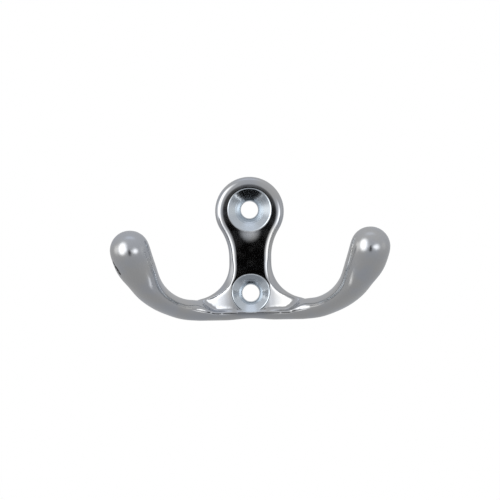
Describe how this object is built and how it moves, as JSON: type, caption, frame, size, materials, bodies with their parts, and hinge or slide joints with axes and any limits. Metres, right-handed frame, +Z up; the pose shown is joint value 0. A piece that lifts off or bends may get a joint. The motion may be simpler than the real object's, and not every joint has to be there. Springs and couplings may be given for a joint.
{
  "type": "double robe hook",
  "caption": "Chrome-plated cast double robe hook: waisted screw plate with countersunk holes, and arms that curve outward, forward and up to rounded ends.",
  "frame": {"origin": "on the wall plane, midway between the centres of the screw holes", "axes": "+X to the right along the arms, +Z up, +Y into the wall, so that the front faces -Y"},
  "size_m": [0.0744, 0.0269, 0.0396],
  "materials": {
    "chrome_plate": "polished, bright plated"
  },
  "bodies": {
    "root": {"hook_body": "chrome_plate"}
  },
  "joints": []
}
